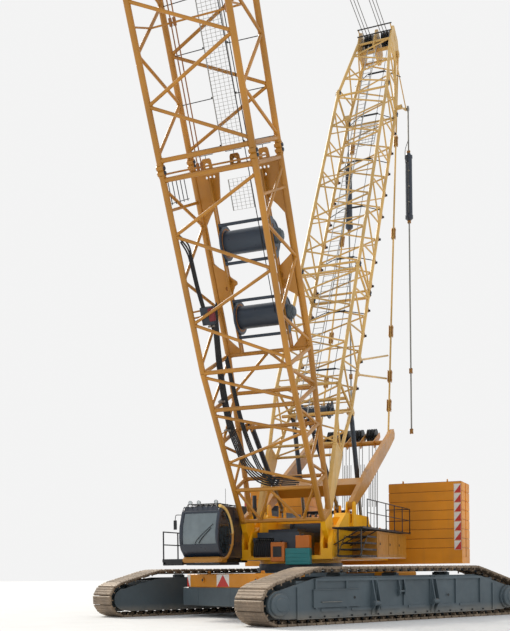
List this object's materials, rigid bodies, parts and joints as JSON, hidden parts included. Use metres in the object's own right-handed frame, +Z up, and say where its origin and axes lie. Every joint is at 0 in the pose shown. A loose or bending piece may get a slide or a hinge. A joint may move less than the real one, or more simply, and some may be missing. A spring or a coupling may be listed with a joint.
{
  "type": "crawler crane",
  "caption": "Lattice boom crawler crane with a tall rear mast, rigging frame, winches, counterweight stacks, cab and hook block.",
  "frame": {"origin": "on the ground under the slewing axis", "axes": "+X forward in the boom's plane, +Y the crane's left, +Z up; the crawlers are turned under the upper"},
  "size_m": [32.1564, 16.2951, 35.9808],
  "materials": {
    "crane_yellow": "satin paint, dusty and worn at edges",
    "frame_grey": "matt paint, dusty",
    "dark_paint": "satin dark blue-grey paint",
    "track_steel": "dusty cast steel, shiny at the ground face",
    "bare_steel": "bare steel",
    "rope_steel": "greased wire rope",
    "glass": "clear tinted glass",
    "seat_fabric": "dark fabric"
  },
  "bodies": {
    "root": {"track_left": "track_steel", "track_right": "track_steel", "track_frames": "frame_grey", "track_wheels": "dark_paint", "carbody": "frame_grey", "carbody_weights": "frame_grey", "slew_ring": "bare_steel"},
    "upper": {"upper_frame": "crane_yellow", "deck_tank": "dark_paint", "engine_house": "dark_paint", "deck_winches": "dark_paint", "walkway_left": "crane_yellow", "cab_platform": "frame_grey", "cab_shell": "dark_paint", "cab_glass": "glass", "cab_seat": "seat_fabric", "weight_tray": "crane_yellow", "weight_slabs": "crane_yellow"},
    "cab_door": {"cab_door": "dark_paint", "cab_door_glass": "glass"},
    "boom": {"boom_legs": "crane_yellow", "boom_base": "crane_yellow", "boom_insert": "crane_yellow", "boom_head": "crane_yellow", "boom_winches": "dark_paint", "boom_sheaves": "dark_paint"},
    "mast": {"mast_legs": "crane_yellow", "mast_base": "crane_yellow", "mast_guides": "crane_yellow", "mast_winch": "dark_paint", "mast_upper": "crane_yellow", "mast_head": "crane_yellow", "mast_sheaves": "dark_paint"},
    "rear_frame": {"rear_frame": "crane_yellow", "rear_frame_sheaves": "dark_paint"},
    "rear_stay": {"rear_stay": "crane_yellow"},
    "luff_falls": {"luff_falls": "rope_steel"},
    "luff_pendants": {"luff_pendants": "crane_yellow", "luff_far_falls": "rope_steel"},
    "rear_falls_upper": {"rear_falls_upper": "rope_steel"},
    "rear_falls_lower": {"rear_falls_lower": "rope_steel"},
    "boom_stop_tubes": {"boom_stop_tubes": "dark_paint"},
    "boom_stop_rods": {"boom_stop_rods": "dark_paint"},
    "mast_stop_tubes": {"mast_stop_tubes": "dark_paint"},
    "mast_stop_rods": {"mast_stop_rods": "dark_paint"},
    "heavy_lift": {"heavy_lift_pendants": "bare_steel"},
    "hook": {"hook_ropes": "rope_steel", "hook_block": "crane_yellow"}
  },
  "joints": [
    {"name": "slew", "type": "hinge", "parent": "root", "child": "upper", "pos_m": [0, 0, 2.05], "axis": [0, 0, 1], "continuous": true},
    {"name": "boom_luff", "type": "hinge", "parent": "upper", "child": "boom", "pos_m": [1.23, 0, 2.96], "axis": [0, -1, 0], "range_deg": [-34, 21]},
    {"name": "mast_luff", "type": "hinge", "parent": "upper", "child": "mast", "pos_m": [0.8, 0, 3.95], "axis": [0, -1, 0], "range_deg": [-8.52, 5.27]},
    {"name": "rear_frame_swing", "type": "hinge", "parent": "upper", "child": "rear_frame", "pos_m": [-0.9, 0, 4.35], "axis": [0, -1, 0], "range_deg": [-10.98, 6.79]},
    {"name": "rear_stay_swing", "type": "hinge", "parent": "mast", "child": "rear_stay", "pos_m": [-13.14322, 0, 28.64197], "axis": [0, -1, 0], "range_deg": [-0.2048, 0.3192]},
    {"name": "rear_falls_upper_swing", "type": "hinge", "parent": "rear_frame", "child": "rear_falls_upper", "pos_m": [-7.49463, 0, 8.00546], "axis": [0, -1, 0], "range_deg": [-0.88, 1.41]},
    {"name": "rear_falls_lower_swing", "type": "hinge", "parent": "upper", "child": "rear_falls_lower", "pos_m": [-7.3, 0, 3.61], "axis": [0, -1, 0], "range_deg": [-9.44, 5.84]},
    {"name": "luff_falls_swing", "type": "hinge", "parent": "mast", "child": "luff_falls", "pos_m": [-12.80946, 0, 29.33154], "axis": [0, -1, 0], "range_deg": [-17.72, 10.95]},
    {"name": "luff_tackle_slide", "type": "slide", "parent": "luff_falls", "child": "luff_pendants", "axis": [0.9771, 0, 0.2127], "range_m": [-7.7832, 12.6001]},
    {"name": "boom_stop_swing", "type": "hinge", "parent": "boom", "child": "boom_stop_tubes", "pos_m": [2.08138, 0, 7.32894], "axis": [0, -1, 0], "range_deg": [-4.61, 7.45]},
    {"name": "boom_stop_slide", "type": "slide", "parent": "boom_stop_tubes", "child": "boom_stop_rods", "axis": [-0.7273, 0, -0.6863], "range_m": [-0.9036, 1.4618]},
    {"name": "mast_stop_swing", "type": "hinge", "parent": "mast", "child": "mast_stop_tubes", "pos_m": [-2.85978, 0, 8.34187], "axis": [0, -1, 0], "range_deg": [-1.97, 3.18]},
    {"name": "mast_stop_slide", "type": "slide", "parent": "mast_stop_tubes", "child": "mast_stop_rods", "axis": [-0.2917, 0, -0.9565], "range_m": [-0.4363, 0.7052]},
    {"name": "heavy_lift_swing", "type": "hinge", "parent": "mast", "child": "heavy_lift", "pos_m": [-12.51836, 0, 25.40277], "axis": [0, -1, 0], "range_deg": [-5.27, 8.52]},
    {"name": "hook_swing", "type": "hinge", "parent": "boom", "child": "hook", "pos_m": [17.66354, 0, 34.94287], "axis": [0, -1, 0], "range_deg": [-21.02, 34.02]},
    {"name": "cab_door_slide", "type": "slide", "parent": "upper", "child": "cab_door", "axis": [-1, 0, 0], "range_m": [0, 0.8]}
  ],
  "couplings": [
    {"joint": "mast_luff", "follows": "boom_luff", "ratio": 0.25},
    {"joint": "rear_frame_swing", "follows": "boom_luff", "ratio": 0.3225},
    {"joint": "rear_stay_swing", "follows": "boom_luff", "ratio": -0.0088},
    {"joint": "rear_falls_upper_swing", "follows": "boom_luff", "ratio": -0.041},
    {"joint": "rear_falls_lower_swing", "follows": "boom_luff", "ratio": 0.277},
    {"joint": "luff_falls_swing", "follows": "boom_luff", "ratio": 0.5205},
    {"joint": "luff_tackle_slide", "follows": "boom_luff", "m_per_rad": -21.23},
    {"joint": "boom_stop_swing", "follows": "boom_luff", "ratio": -0.2185},
    {"joint": "boom_stop_slide", "follows": "boom_luff", "m_per_rad": -2.46},
    {"joint": "mast_stop_swing", "follows": "boom_luff", "ratio": -0.093},
    {"joint": "mast_stop_slide", "follows": "boom_luff", "m_per_rad": -1.185},
    {"joint": "heavy_lift_swing", "follows": "boom_luff", "ratio": -0.25},
    {"joint": "hook_swing", "follows": "boom_luff", "ratio": -1}
  ]
}
